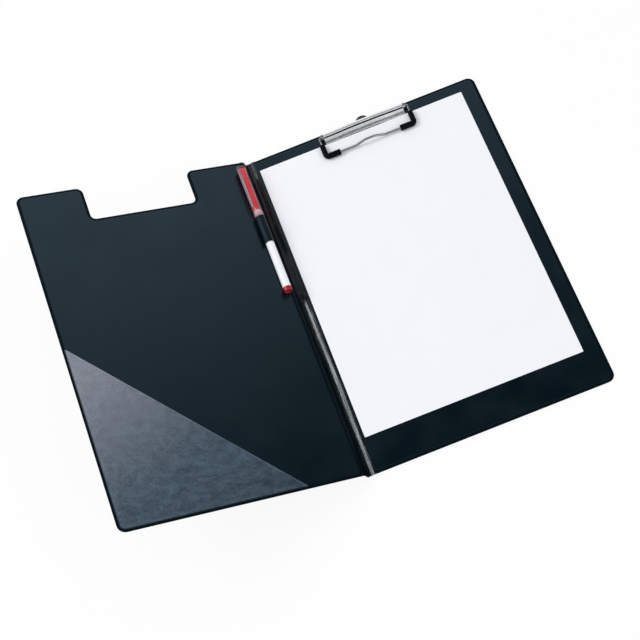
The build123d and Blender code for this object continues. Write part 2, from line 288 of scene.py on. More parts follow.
def clearFinish(name, part):  # milkier where it turns away; part is cap or blade
    look = clearLook
    colour = look[part]
    made = Finish(name, {"IOR": 1.5, "Specular IOR Level": 0.6})
    turned = made.node("ShaderNodeLayerWeight", None, {"Blend": 0.5}, "Facing")
    haze = made.fit(turned, *look["turned"], *look[part + "Haze"])
    body = made.mixed(made.noise(look["patches"], 4), colour, shaded(colour, look["dark"]))
    height = made.apart(made.spot())["Y"] * (1 / mm)
    if part == "blade":  # clearer towards its root
        haze = haze * made.fit(height, *look["bladeFade"], 1.0, look["bladeLeft"])
    else:  # the red inside tints the open end
        mouth = made.fit(height, *look["mouth"], 1.0, 0.0)
        haze = made.larger(haze, mouth * look["mouthHaze"])
        body = made.mixed(mouth, body, look["mouthBlush"])
    shine = made.uneven(look["smudges"], 3, *look["shine"])
    made.surface({"Base Color": body, "Alpha": haze, "Roughness": shine})
    made.bumped(made.noise(look["pores"], 2), look["bump"], 0.3)
    return made.material


metalLook = {  # noises are given as scale, detail, roughness and stretch
    "constants": {"Metallic": 1.0}, "patches": (60, 4, 0.6, (1, 14, 14)), "dark": 0.92,
    "smudges": (250, 3), "grain": (60, 4, 0.6, (1, 14, 14)), "bump": 0.000004, "strength": 0.3,
}
plasticLook = {
    "constants": {"IOR": 1.5}, "patches": (120, 3), "dark": 0.9,
    "smudges": (700, 3), "grain": (1500, 2), "bump": 0.00002, "strength": 0.3,
}
paperLook = {
    "constants": {"Specular IOR Level": 0.2, "Roughness": 0.85}, "patches": (30, 3),
    "grain": (1400, 5, 0.7), "bump": 0.00003, "strength": 0.4,
}
boardLook = {  # the layers show on the board's edge
    "constants": {"Specular IOR Level": 0.2, "Roughness": 0.9}, "patches": (600, 5, 0.7, (1, 1, 12)),
    "grain": (600, 5, 0.7, (1, 1, 12)), "bump": 0.0001, "strength": 0.5,
}


def plainFinish(name, look, colour, shine=None, other=None, constants=None):
    made = Finish(name, {**look["constants"], **(constants or {})})
    other = other or shaded(colour, look["dark"])
    made.surface({"Base Color": made.mixed(made.noise(*look["patches"]), colour, other)})
    if shine:  # the least and the most roughness
        made.surface({"Roughness": made.uneven(*look["smudges"], *shine)})
    made.bumped(made.noise(*look["grain"]), look["bump"], look["strength"])
    return made.material


finishes = {  # the record's slots, then the looks of single pieces
    "black_vinyl": vinylFinish("blackVinyl", 0.18, 0.66, 0.3),
    "clear_film": pocketFinish(),
    "greyboard": plainFinish("greyBoard", boardLook, tint(118, 112, 104), other=tint(150, 143, 132)),
    "nickel_plate": plainFinish("nickelPlate", metalLook, (0.86, 0.87, 0.88), (0.2, 0.3)),
    "rivet_steel": plainFinish("rivetSteel", metalLook, (0.55, 0.56, 0.57), (0.24, 0.38)),
    "tip_steel": plainFinish("tipSteel", metalLook, (0.66, 0.66, 0.65), (0.2, 0.3)),
    "sleeve_rubber": plainFinish("sleeveRubber", plasticLook, tint(0, 4, 11), (0.42, 0.52),
                                 constants={"Specular IOR Level": 0.1, "Specular Tint": (0.6, 0.82, 1.0)}),
    "black_lacquer": plainFinish("blackLacquer", plasticLook, tint(7, 9, 13), (0.26, 0.36),
                                 constants={"Coat Weight": 0.15}),
    "white_paper": plainFinish("whitePaper", paperLook, tint(243, 244, 247), other=tint(239, 240, 244)),
    "white_plastic": plainFinish("whitePlastic", plasticLook, tint(246, 247, 251), (0.22, 0.32)),
    "red_plastic": plainFinish("redPlastic", plasticLook, tint(206, 26, 38), (0.2, 0.3)),
    "clear_plastic": clearFinish("clearPlastic", "cap"),
    "ink_fibre": plainFinish("inkFibre", plasticLook, tint(120, 20, 30), (0.7, 0.8)),
    "weld": vinylFinish("weldVinyl", 0.34, 0.14, 0.4),
    "spine": spineFinish(),
    "loop": vinylFinish("loopVinyl", 0.4, 0.3, 0.5),
    # painted shade: a darkened copy of the nickel, standing in for the darker surroundings the wire reflects
    "wire": plainFinish("darkenedWireShade", metalLook, (0.3, 0.31, 0.34), (0.14, 0.24)),
    # painted shade: a dark copy of the nickel for the inside of the clip's barrel
    "barrelInsidePaintedShade": plainFinish("paintedShadeNickel", metalLook, (0.1, 0.1, 0.11), (0.5, 0.6)),
    "plug": plainFinish("plugPlastic", plasticLook, tint(158, 14, 34), (0.16, 0.26)),
    "blade": clearFinish("capBladePlastic", "blade"),
}
print("finishes made:", len(finishes))


def placed(name, data):  # a new object, put in the scene
    made = bpy.data.objects.new(name, data)
    bpy.context.scene.collection.objects.link(made)
    return made


def makePiece(name, points, faces, slotName, body, stands, place=None, crease=35, looks=None):
    turn = place or Matrix.Identity(4)
    mesh = bpy.data.meshes.new(name)
    mesh.from_pydata([tuple((turn @ Vector(point)) * mm) for point in points], [], faces)
    work = bmesh.new()
    work.from_mesh(mesh)
    bmesh.ops.remove_doubles(work, verts=work.verts, dist=hair * mm)
    bmesh.ops.recalc_face_normals(work, faces=work.faces)
    work.to_mesh(mesh)
    work.free()
    mesh.shade_smooth()
    mesh.set_sharp_from_angle(angle=math.radians(crease))
    for look in looks or [slotName]:  # the first is on every face until changed
        mesh.materials.append(finishes[look])
    piece = placed(name, mesh)
    if body:
        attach(piece, body)
    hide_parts(*stands)
    return piece


def joinRings(rings, points, faces, closed=True):  # quads between rings of equal count
    start = len(points)
    count = len(rings[0])
    for ring in rings:
        points.extend(ring)
    for row in range(len(rings) - 1):
        for step in range(count if closed else count - 1):
            here = start + row * count + step
            beside = start + row * count + (step + 1) % count
            faces.append((here, beside, beside + count, here + count))
    return start


def capped(rings, points=(), faces=()):  # rings joined and closed at both ends, added to a shape
    points, faces = list(points), list(faces)
    start = joinRings(rings, points, faces)
    count = len(rings[0])
    end = start + (len(rings) - 1) * count
    faces.append(tuple(start + k for k in reversed(range(count))))
    faces.append(tuple(end + k for k in range(count)))
    return points, faces


def circle(x, y, z, radius, steps):
    angles = [math.tau * step / steps for step in range(steps)]
    return [(x + radius * math.cos(angle), y + radius * math.sin(angle), z) for angle in angles]


def merged(points, faces):  # equal points made one, and faces of no width dropped
    seen, order, fresh = {}, [], []
    for point in points:
        key = tuple(round(part, 5) for part in point)
        if key not in seen:
            seen[key] = len(fresh)
            fresh.append(point)
        order.append(seen[key])
    kept = []
    for face in faces:
        loop = []
        for index in face:
            if order[index] not in loop:
                loop.append(order[index])
        if len(loop) > 2:
            kept.append(tuple(loop))
    return fresh, kept


def turned(profile, sides):  # a profile of radius and height spun about Z
    points, faces = [], []
    rings = [circle(0, 0, height, radius, sides) for radius, height in profile]
    if profile[0][0] > 0 and profile[-1][0] > 0:
        rings.append(rings[0])
    joinRings(rings, points, faces)
    return merged(points, faces)


def filledLevels(points, faces, levels):  # closes the flat openings at the given heights
    work = bmesh.new()
    verts = [work.verts.new(point) for point in points]
    for face in faces:
        work.faces.new([verts[index] for index in face])
    for level in levels:
        loop = [e for e in work.edges if e.is_boundary and all(abs(v.co.z - level) < hair for v in e.verts)]
        bmesh.ops.triangle_fill(work, use_beauty=True, use_dissolve=False, edges=loop)
    work.verts.index_update()
    fresh = [tuple(v.co) for v in work.verts], [tuple(v.index for v in f.verts) for f in work.faces]
    work.free()
    return fresh


def roundedRing(corners, inset, steps, least):  # corners run anticlockwise: x, y, radius
    ring = []
    count = len(corners)
    for index, (x, y, radius) in enumerate(corners):
        before = Vector(corners[index - 1][:2])
        here = Vector((x, y))
        after = Vector(corners[(index + 1) % count][:2])
        inDir = (here - before).normalized()
        outDir = (after - here).normalized()
        inSide = Vector((-inDir.y, inDir.x))
        outSide = Vector((-outDir.y, outDir.x))
        middle = here + (inSide + outSide) * inset / (1 + inSide.dot(outSide))
        turn = math.atan2(inDir.cross(outDir), inDir.dot(outDir))
        size = max(radius - inset, least) if turn > 0 else radius + inset
        reach = size * math.tan(abs(turn) / 2)
        side = 1 if turn > 0 else -1
        centre = middle - inDir * reach + inSide * size * side
        spoke = -inSide * size * side
        for step in range(steps + 1):
            ring.append(centre + Matrix.Rotation(turn * step / steps, 2) @ spoke)
    return ring


def outlineRings(corners, levels, steps, least=0.05):  # levels are distances in from the edge and heights
    return [[(p.x, p.y, z) for p in roundedRing(corners, inset, steps, least)] for inset, z in levels]


def insideOf(spot, ring):  # even-odd test against a closed outline
    hit = False
    for index, here in enumerate(ring):
        before = ring[index - 1]
        if (here.y > spot.y) != (before.y > spot.y):
            if spot.x < (before.x - here.x) * (spot.y - here.y) / (before.y - here.y) + here.x:
                hit = not hit
    return hit


def twoWaves(slow, quick):  # a slow drift with a quicker one of half its size
    return noise.noise(slow) + 0.5 * noise.noise(quick)


def evenly(start, end, steps):
    return [start + (end - start) * step / steps for step in range(steps + 1)]


def along(stops, value):  # straight-line reading of a list of stops
    for (x0, y0), (x1, y1) in zip(stops, stops[1:]):
        if value <= x1:
            return y0 + (y1 - y0) * max(value - x0, 0) / (x1 - x0)
    return stops[-1][1]


def backCorners():
    panel = panelSize
    x, y = panel["backHalf"], panel["halfHeight"]
    return [(-x, -y, panel["spineCorner"]), (x, -y, panel["outerCorner"]),
            (x, y, panel["outerCorner"]), (-x, y, panel["spineCorner"])]


def coverCorners():
    panel = panelSize
    y = panel["halfHeight"]
    inner = panel["coverInner"]
    near = inner - panel["notchFromSpine"]
    far = near - panel["notchWidth"]
    floor = y - panel["notchDepth"]
    return [(inner, -y, panel["spineCorner"]), (inner, y, panel["spineCorner"]),
            (near, y, panel["notchEar"]), (near, floor, panel["notchInner"]),
            (far, floor, panel["notchInner"]), (far, y, panel["notchEar"]),
            (coverOuter, y, panel["outerCorner"]), (coverOuter, -y, panel["outerCorner"])]


filmShape = {  # distance in from the edge, height over the mid-plane
    "inside": [(3.9, 0.8), (3.1, 0.8), (2.86, 0.5), (2.7, 0.02), (0.1, 0.005)],
    "outside": [(0, 0.01), (0.02, 0.12), (0.1, 0.22), (0.25, 0.28), (0.45, 0.3), (1.0, 0.3), (1.7, 0.3),
                (2.3, 0.305), (2.45, 0.36), (2.53, 0.6), (2.6, 0.86), (2.72, 1.0), (2.95, 1.075),
                (3.3, 1.1), (3.9, 1.1)],
    "dullWidth": 3.01, "cornerSteps": 7, "leastCorner": 0.9,
    "clinches": [(-22.0, 167.3), (22.0, 167.3)], "clinchRadius": 2.0, "clinchSteps": 28,
}


def panelFilm(name, corners, side, place, body, stands, clinches=()):
    film = filmShape
    fine = film["cornerSteps"], film["leastCorner"]
    profile = film["inside"] + film["outside"]
    levels = [side * profile[0][1], side * profile[-1][1]]
    points, faces = [], []
    joinRings(outlineRings(corners, [(inset, side * up) for inset, up in profile], *fine), points, faces)
    for x, y in clinches:  # holes round the ends of the clip's rivets
        joinRings([circle(x, y, level, film["clinchRadius"], film["clinchSteps"]) for level in levels],
                  points, faces)
    points, faces = filledLevels(points, faces, levels)
    piece = makePiece(name, points, faces, "black_vinyl", body, stands, place, crease=50,
                      looks=["black_vinyl", "weld"])
    backToFlat = place.inverted()
    rim = roundedRing(corners, film["dullWidth"], *fine)
    for face in piece.data.polygons:  # the welded rim is duller
        if not insideOf(backToFlat @ (face.center / mm), rim):
            face.material_index = 1


panelFilm("backFilmOuter", backCorners(), -1, backPlace, "back_panel", ["back_outer_skin"],
          filmShape["clinches"])
panelFilm("backFilmInner", backCorners(), 1, backPlace, "back_panel", ["back_inner_lining"])
panelFilm("coverFilmOuter", coverCorners(), -1, coverPlace, "front_cover", ["cover_outer_skin"])
panelFilm("coverFilmInner", coverCorners(), 1, coverPlace, "front_cover", ["cover_inner_lining"])
print("panels made")


spineSize = {  # sides of the bent film; stops are distances down a strip
    "backTop": [(-112.5, 2.16), (-112.95, 2.18), (-113.4, 2.14), (-114.0, 2.03), (-114.5, 1.92),
                (-115.0, 1.79), (-115.5, 1.65), (-116.0, 1.505), (-116.4, 1.38), (-116.8, 1.245),
                (-117.1, 1.16), (-117.5, 1.09), (-118.2, 1.02), (-119.2, 0.96), (-120.3, 0.89)],
    "backUnderStops": [3.5, 1.8, 0.6],
    "backUnder": [(-115.3, 0.84), (-114.6, 0.9), (-113.2, 1.2), (-112.5, 2.0)],
    "coverTop": [(-3.9, 1.09), (-3.2, 1.115), (-3.02, 1.09), (-2.94, 0.98), (-2.88, 0.72), (-2.78, 0.56),
                 (-2.5, 0.5), (-1.6, 0.47), (-0.8, 0.42)],
    "coverTopStops": [0.7, 1.5, 2.6, 3.8, 5.0, 6.2, 7.2], "coverUnderStops": [5.5, 3.5, 1.6, 0.5],
    "coverUnder": [(-0.8, -0.28), (-1.4, -0.2), (-3.2, 0.2), (-3.9, 0.95)],
    "backWavesFrom": -113.2, "coverWavesFrom": -3.0, "stripWaves": 0.6, "wave": 0.07,
    "half": 0.3, "rows": 110, "endPlay": 0.02, "bend": 0.9,
}


def downStrip(start, end, far, side):  # a point down a strip, set off to one side
    ahead = (end - start).normalized()
    return start + ahead * far + Vector((-ahead.y, ahead.x)) * side


def roundEnd(start, end, half, steps=8):  # the half circle about the end of a strip
    spots = []
    for angle in evenly(0, math.pi, steps):
        reach = (end - start).length + half * math.sin(angle)
        spots.append(downStrip(start, end, reach, half * math.cos(angle)))
    return spots


def spineBand(name, section, stands, look):  # section holds each point with its share of the waves
    half = panelSize["halfHeight"] - spineSize["endPlay"]
    rings = []
    for y in evenly(-half, half, spineSize["rows"]):
        ring = []
        for p, share in section:
            drift = twoWaves((p.x * 0.2, y * 0.035, 3.1), (p.x * 0.4, y * 0.11, 7.7))
            ring.append((p.x, y, p.y + share * spineSize["wave"] * drift))
        rings.append(ring)
    return makePiece(name, *capped(rings), "black_vinyl", None, stands, crease=60, looks=[look])


def blendOver(piece):
    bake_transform(piece)


def makeSpineBack():
    spine = spineSize
    half = spine["half"]
    strip = backFold, creaseFold
    section = [(Vector(p), 1.0 if p[0] < spine["backWavesFrom"] else 0.0) for p in spine["backTop"]]
    section += [(p, 0.0) for p in reversed(roundEnd(*strip, half))]
    section += [(downStrip(*strip, far, half), 0.0) for far in spine["backUnderStops"]]
    section += [(Vector(p), 0.0) for p in spine["backUnder"]]
    piece = spineBand("spineFilmBack", section, ["spine_strip_back"], "spine")
    blendOver(piece)


def makeSpineCover():
    spine = spineSize
    half = spine["half"]
    strip = coverFold, creaseFold
    tilt = math.radians(panelSize["coverTilt"])
    outward = Vector((math.cos(tilt), -math.sin(tilt)))  # from the cover towards the spine
    rise = Vector((math.sin(tilt), math.cos(tilt)))
    section = [(coverFold + outward * x + rise * z, 1.0 if x > spine["coverWavesFrom"] else 0.0)
               for x, z in spine["coverTop"]]
    section += [(downStrip(*strip, far, half), spine["stripWaves"]) for far in spine["coverTopStops"]]
    section += [(p, 0.0) for p in roundEnd(*strip, half)]
    section += [(downStrip(*strip, far, -half), 0.0) for far in spine["coverUnderStops"]]
    section += [(coverFold + outward * x + rise * z, 0.0) for x, z in spine["coverUnder"]]
    piece = spineBand("spineFilmCover", section, ["spine_strip_cover"], "weld")
    blendOver(piece)


makeSpineBack()
makeSpineCover()
print("spine made")


def hemDistance(inward, upward):  # how far a place is from the pocket's open edge
    norm = math.hypot(1 / pocketSize["up"], 1 / pocketSize["along"])
    return (1 - inward / pocketSize["along"] - upward / pocketSize["up"]) / norm


def pocketLevel(inward, upward, inset):
    pocket = pocketSize
    hem = hemDistance(inward, upward)
    lift = along(pocket["slope"], inset)
    rib = pocket["hemHeight"] * min(max((pocket["hem"] - hem) / pocket["hemSlope"], 0), 1) * lift
    swell = twoWaves((inward * 0.045, upward * 0.045, 0.4), (inward * 0.11, upward * 0.11, 5.2))
    calm = min(hem / pocket["calm"], 1) * min(max(inset - pocket["rimCalm"], 0) / pocket["calm"], 1)
    flat = pocket["weld"] + (pocket["roof"] - pocket["weld"]) * lift
    return flat + rib + pocket["wave"] * swell * max(calm, 0)


def pocketRing(inset, shares):  # from the hem down one edge and along the other
    pocket = pocketSize
    tip = pocket["up"] * (1 - inset / pocket["along"])
    toe = pocket["along"] * (1 - inset / pocket["up"])
    size = max(pocket["corner"] - inset, pocket["least"])
    stop = min(inset + size, tip)
    ring = [(inset, tip + (stop - tip) * share) for share in shares]
    for angle in evenly(0, math.pi / 2, pocket["cornerSteps"])[1:-1]:
        if tip > inset + size and toe > inset + size:
            ring.append((inset + size - size * math.cos(angle), inset + size - size * math.sin(angle)))
        else:
            ring.append((inset, inset))
    stop = min(inset + size, toe)
    return ring + [(toe + (stop - toe) * share, inset) for share in reversed(shares)]


def makePocket():
    pocket = pocketSize
    deepest = 1 / (1 / pocket["up"] + 1 / pocket["along"]) - pocket["least"]
    insets = pocket["rimInsets"] + evenly(pocket["flatFrom"], deepest, pocket["flatRings"])
    shares = pocket["hemShares"] + evenly(pocket["edgeFrom"], 1, pocket["edgeSteps"])
    floor = -panelSize["halfHeight"]
    upper = []
    for inset in insets:
        upper.append([(coverOuter + inward, floor + upward, pocketLevel(inward, upward, inset))
                      for inward, upward in pocketRing(inset, shares)])
    lower = [[(x, y, z - pocket["film"]) for x, y, z in ring] for ring in upper]
    points, faces = [], []
    top = joinRings(upper, points, faces, False)
    bottom = joinRings(lower, points, faces, False)
    count = len(upper[0])
    last = (len(upper) - 1) * count
    for start in (0, last):  # walls round the rim, at the middle and along the hem
        for step in range(start, start + count - 1):
            faces.append((top + step, top + step + 1, bottom + step + 1, bottom + step))
    for start in (0, count - 1):
        for step in range(start, start + last, count):
            faces.append((top + step, top + step + count, bottom + step + count, bottom + step))
    makePiece("cornerPocket", points, faces, "clear_film", "front_cover", ["corner_pocket"], coverPlace,
              crease=40)


makePocket()
print("pocket made")


penSize = {  # radius and height down each turned part
    "axisX": -6.6, "axisZ": 5.8, "sides": 56,
    "barrel": [(3.3, 24.5), (3.85, 24.5), (3.97, 24.58), (4.0, 24.7), (4.0, 26.2), (3.9, 26.35), (3.9, 26.75),
               (4.0, 26.9), (4.0, 109.3), (3.9, 109.8), (3.7, 110), (3.3, 110)],
    "plug": [(0, 20.45), (2.3, 20.45), (2.55, 20.35), (2.75, 20.08), (3.0, 20.0), (3.5, 20.05), (3.85, 20.3),
             (4.03, 20.7), (4.1, 21.2), (4.1, 24.2), (4.05, 24.4), (3.9, 24.48), (3.25, 24.5), (3.25, 30.2),
             (3.0, 30.5), (0, 30.5)],
    "cap": [(4.1, 105.25), (4.2, 105.05), (4.35, 105), (4.5, 105.08), (4.6, 105.3), (4.6, 106.6),
            (4.52, 106.8), (4.52, 107.1), (4.6, 107.3), (4.6, 161.6), (4.4, 161.8), (0, 161.8), (0, 160.4),
            (4.0, 160.4), (4.1, 160.2)],
    "liner": [(3.4, 111.4), (3.5, 111.42), (3.6, 111.8), (3.75, 122), (3.95, 135), (4.05, 148), (4.05, 160.1),
              (3.9, 160.38), (0, 160.38), (0, 159.2), (3.4, 159.0), (3.4, 146), (3.38, 130)],
    "disc": [(0, 161.82), (4.3, 161.82), (4.52, 161.95), (4.6, 162.2), (4.58, 162.55), (4.4, 162.85),
             (4.1, 162.98), (3.0, 163), (0, 163)],
}
penLay = Matrix.Translation((penSize["axisX"], 0, penSize["axisZ"])) @ Matrix.Rotation(-math.pi / 2, 4, "X")
penPlace = coverPlace @ penLay


def penPart(name, profile, slotName, body, stands, looks=None):
    points, faces = turned(penSize[profile], penSize["sides"])
    makePiece(name, points, faces, slotName, body, stands, penPlace, crease=32, looks=looks)


penPart("penBarrel", "barrel", "white_plastic", "pen", ["pen_barrel"])
penPart("penEndPlug", "plug", "red_plastic", "pen", ["pen_end_plug"], ["plug"])
penPart("penCap", "cap", "clear_plastic", "pen_cap", ["pen_cap"])
penPart("penCapLiner", "liner", "red_plastic", "pen_cap", ["pen_cap_liner"])

capClip = {  # the disc on the cap's end and the blade that leads from it
    "turn": 54.0, "top": 163.0, "length": 48.0, "wide": 3.2, "narrow": 2.2, "reach": 5.5, "root": 2.2,
    "bend": 0.75, "thick": 0.65, "crown": 0.22, "thinner": 0.12, "tipRound": 1.3, "leastTip": 0.02,
    "bead": 0.45, "beadPlace": 3.0, "beadWidth": 1.3,
    "rootSteps": 6, "bendSteps": 5, "rows": 40, "columns": 10,
}


def bladeLine():  # distance out, height and share of the blade's length
    blade = capClip
    bend = blade["bend"]
    out, high = blade["reach"] - bend, blade["top"] - bend
    line = [(x, blade["top"], 0) for x in evenly(blade["root"], out, blade["rootSteps"])]
    for angle in evenly(0, math.pi / 2, blade["bendSteps"])[1:]:
        line.append((out + bend * math.sin(angle), high + bend * math.cos(angle), 0))
    for share in evenly(0, 1, blade["rows"])[1:]:
        line.append((blade["reach"], high - (blade["length"] - bend) * share, share))
    return line


def makeCapClip():
    blade = capClip
    spin = Matrix.Rotation(math.radians(-90 - blade["turn"]), 4, "Z")
    across = evenly(-1, 1, blade["columns"])
    line = bladeLine()
    rings = []
    for index, (out, height, share) in enumerate(line):
        before = Vector(line[max(index - 1, 0)][:2])
        after = Vector(line[min(index + 1, len(line) - 1)][:2])
        ahead = (after - before).normalized()
        inward = Vector((ahead.y, -ahead.x))
        half = (blade["wide"] + (blade["narrow"] - blade["wide"]) * share) / 2
        left = (1 - share) * blade["length"]
        if left < blade["tipRound"]:
            half *= math.sqrt(max(1 - (1 - left / blade["tipRound"]) ** 2, blade["leastTip"]))
        bead = blade["bead"] * math.exp(-((left - blade["beadPlace"]) / blade["beadWidth"]) ** 2)
        sides = [(side, blade["crown"] * side ** 4) for side in across]
        for side in reversed(across):
            sides.append((side, blade["thick"] + bead * (1 - side ** 2) - blade["thinner"] * side ** 4))
        ring = []
        for side, deep in sides:
            spot = Vector((out, height)) + inward * deep
            ring.append(spin @ Vector((spot.x, side * half, spot.y)))
        rings.append(ring)
    points, faces = capped(rings, *turned(penSize["disc"], penSize["sides"]))
    makePiece("capClip", points, faces, "clear_plastic", "pen_cap", ["pen_cap_clip"], penPlace,
              crease=40, looks=["blade"])


makeCapClip()
print("pen made")


loopSize = {  # a film tube about the pen, and the foot that is welded down
    "bore": 4.3, "film": 0.4, "bottom": 74.5, "top": 104.5, "sides": 64,
    "ends": [(0, 0.12), (0.15, 0.02), (0.5, 0)], "footShort": 0.05, "footMiddle": 8,
    "foot": [(-9.4, 1.12), (-9.0, 1.5), (-6.6, 1.52), (-3.3, 1.5), (-2.75, 1.42), (-2.55, 1.2),
             (-2.5, 0.85), (-2.4, 0.74), (-1.4, 0.7), (-1.15, 0.62), (-1.1, 0.36), (-1.3, 0.31),
             (-2.9, 0.31), (-3.1, 1.12)],
}


def makeLoop():
    loop = loopSize
    outer, bottom, top = loop["bore"] + loop["film"], loop["bottom"], loop["top"]
    profile = [(outer - cut, bottom + far) for far, cut in loop["ends"]]
    profile += [(outer - cut, top - far) for far, cut in reversed(loop["ends"])]
    profile += [(loop["bore"], top), (loop["bore"], bottom)]
    points, faces = turned(profile, loop["sides"])
    points = [penLay @ Vector(point) for point in points]
    heights = bottom + loop["footShort"], bottom + loop["footMiddle"], top - loop["footShort"]
    points, faces = capped([[(x, y, z) for x, z in loop["foot"]] for y in heights], points, faces)
    makePiece("penLoop", points, faces, "black_vinyl", "front_cover", ["pen_loop"], coverPlace,
              looks=["loop"])


makeLoop()
print("loop made")


clipSize = {  # the wire bail and its two rubber sleeves
    "barrelY": 167.3, "barrelZ": 5.3, "frontY": 145.4, "frontZ": 5.05, "arm": 45.6, "innerEnd": 32.0,
    "wire": 1.2, "exitBend": 1.8, "cornerBend": 4.0, "humpBend": 9.0, "humpFoot": 15.0, "humpTop": 5.0,
    "humpRise": 3.0, "humpBack": 1.0, "sleeveEnd": 159.0, "sleeveFront": 31.0, "sleeveFlat": 2.65,
    "sleeveBend": 3.1, "sleeveStep": 0.8, "sleeveRound": 0.5, "endShares": [0.06, 0.2, 0.4, 0.6],
    "wireSides": 20, "bendSteps": 10, "sleeveSides": 32, "sleeveBendSteps": 14,
    "sleeve": [(0, 2.45), (0.06, 2.6), (0.45, 2.72), (0.55, 2.95), (0.9, 3.0), (1, 3.0)],
}


def bentPath(corners, bends, steps):  # straight runs joined by arcs
    path = [Vector(corners[0])]
    for index in range(1, len(corners) - 1):
        here = Vector(corners[index])
        toBack = (Vector(corners[index - 1]) - here).normalized()
        toNext = (Vector(corners[index + 1]) - here).normalized()
        angle = toBack.angle(toNext)
        radius = bends[index - 1]
        reach = radius / math.tan(angle / 2)
        centre = here + (toBack + toNext).normalized() * radius / math.sin(angle / 2)
        start = here + toBack * reach - centre
        end = here + toNext * reach - centre
        spread = start.angle(end)
        for share in evenly(0, 1, steps):
            mixed = start * math.sin((1 - share) * spread) + end * math.sin(share * spread)
            path.append(centre + mixed / math.sin(spread))
    path.append(Vector(corners[-1]))
    return path


def sweptRings(path, radii, sides):
    rings = []
    side = (path[1] - path[0]).orthogonal().normalized()
    for index, here in enumerate(path):
        before = path[max(index - 1, 0)]
        after = path[min(index + 1, len(path) - 1)]
        ahead = (after - before).normalized()
        side = (side - ahead * side.dot(ahead)).normalized()
        other = ahead.cross(side)
        ring = []
        for step in range(sides):
            angle = math.tau * step / sides
            ring.append(here + (side * math.cos(angle) + other * math.sin(angle)) * radii[index])
        rings.append(ring)
    return rings


def makeWire():
    clip = clipSize
    back = clip["barrelY"], clip["barrelZ"]
    front = clip["frontY"], clip["frontZ"]
    hump = front[0] + clip["humpBack"], front[1] + clip["humpRise"]
    half = [(clip["innerEnd"], *back), (clip["arm"], *back), (clip["arm"], *front),
            (clip["humpFoot"], *front), (clip["humpTop"], *hump)]
    bends = [clip["exitBend"], clip["cornerBend"], clip["humpBend"], clip["humpBend"]]
    mirrored = [(-x, y, z) for x, y, z in reversed(half)]
    path = bentPath(half + mirrored, bends + bends[::-1], clip["bendSteps"])
    points, faces = capped(sweptRings(path, [clip["wire"]] * len(path), clip["wireSides"]))
    # the wire takes the darkened metal, painted shade
    makePiece("bailWire", points, faces, "nickel_plate", "bail", ["bail_wire"], crease=40, looks=["wire"])


def sleevePath(side):  # short steps, so that the taper shows
    clip = clipSize
    slope = (clip["frontZ"] - clip["barrelZ"]) / (clip["frontY"] - clip["barrelY"])
    endZ = clip["barrelZ"] + slope * (clip["sleeveEnd"] - clip["barrelY"])
    front = clip["frontY"], clip["frontZ"]
    corners = [(side * clip["arm"], clip["sleeveEnd"], endZ), (side * clip["arm"], *front),
               (side * clip["sleeveFront"], *front)]
    bent = bentPath(corners, [clip["sleeveBend"]], clip["sleeveBendSteps"])
    path = []
    for start, end in zip(bent, bent[1:]):
        steps = max(int((end - start).length / clip["sleeveStep"]), 1)
        path += [start.lerp(end, k / steps) for k in range(steps)]
    path.append(bent[-1])
    path[1:1] = [path[0].lerp(path[1], share) for share in clip["endShares"]]
    path[-1:-1] = [path[-1].lerp(path[-2], share) for share in reversed(clip["endShares"])]
    return path


def makeSleeve(word, side):
    clip = clipSize
    path = sleevePath(side)
    far = [0.0]
    for start, end in zip(path, path[1:]):
        far.append(far[-1] + (end - start).length)
    whole, curve = far[-1], clip["sleeveRound"]
    radii = []
    for reach in far:
        size = along(clip["sleeve"], reach / whole)
        for gap in (reach, whole - reach):  # rounded ends
            if gap < curve:
                size -= curve - math.sqrt(curve ** 2 - (curve - gap) ** 2)
        radii.append(size)
    points, faces = capped(sweptRings(path, radii, clip["sleeveSides"]))
    points = [(x, y, max(z, clip["sleeveFlat"])) for x, y, z in points]  # pressed flat on the paper
    makePiece("bailSleeve" + word, points, faces, "sleeve_rubber", "bail", ["bail_sleeve_" + word.lower()],
              crease=45)


makeWire()
makeSleeve("Left", -1)
makeSleeve("Right", 1)


plateSize = {  # the clip's plate; angles run from the back, over the top
    "barrel": 3.1, "bore": 2.3, "endBore": 1.3, "halfWidth": 43.6, "stripHalf": 41.2, "front": 160.2,
    "bottom": 2.2, "sheet": 0.8, "rise": 0.9, "riseStart": 34.0, "riseEnd": 11.0, "edge": 0.14, "flat": 3,
    "dish": [(4.5, 0.42), (4.2, 0.3), (3.6, 0.19), (2.6, 0.1), (1.6, 0.05), (0.6, 0.01)],
    "seam": (124.0, 156.0), "lipRound": 3.0, "lipHalf": 0.25, "strip": 209.0, "endOverlap": 0.6,
    "places": [0, 4, 8], "riseSteps": 20, "lastPlace": 37, "barrelSteps": 60, "boreSteps": 80, "lipSteps": 22,
    "endRound": [(0, 0.25), (0.08, 0.08), (0.25, 0)], "endEase": 0.2, "endSides": 48,
}


def riseAt(x):  # the plate bridges the paper's edge at its middle
    start, end = plateSize["riseStart"], plateSize["riseEnd"]
    share = min(max((start - abs(x)) / (start - end), 0), 1)
    return plateSize["rise"] * share * share * (3 - 2 * share)


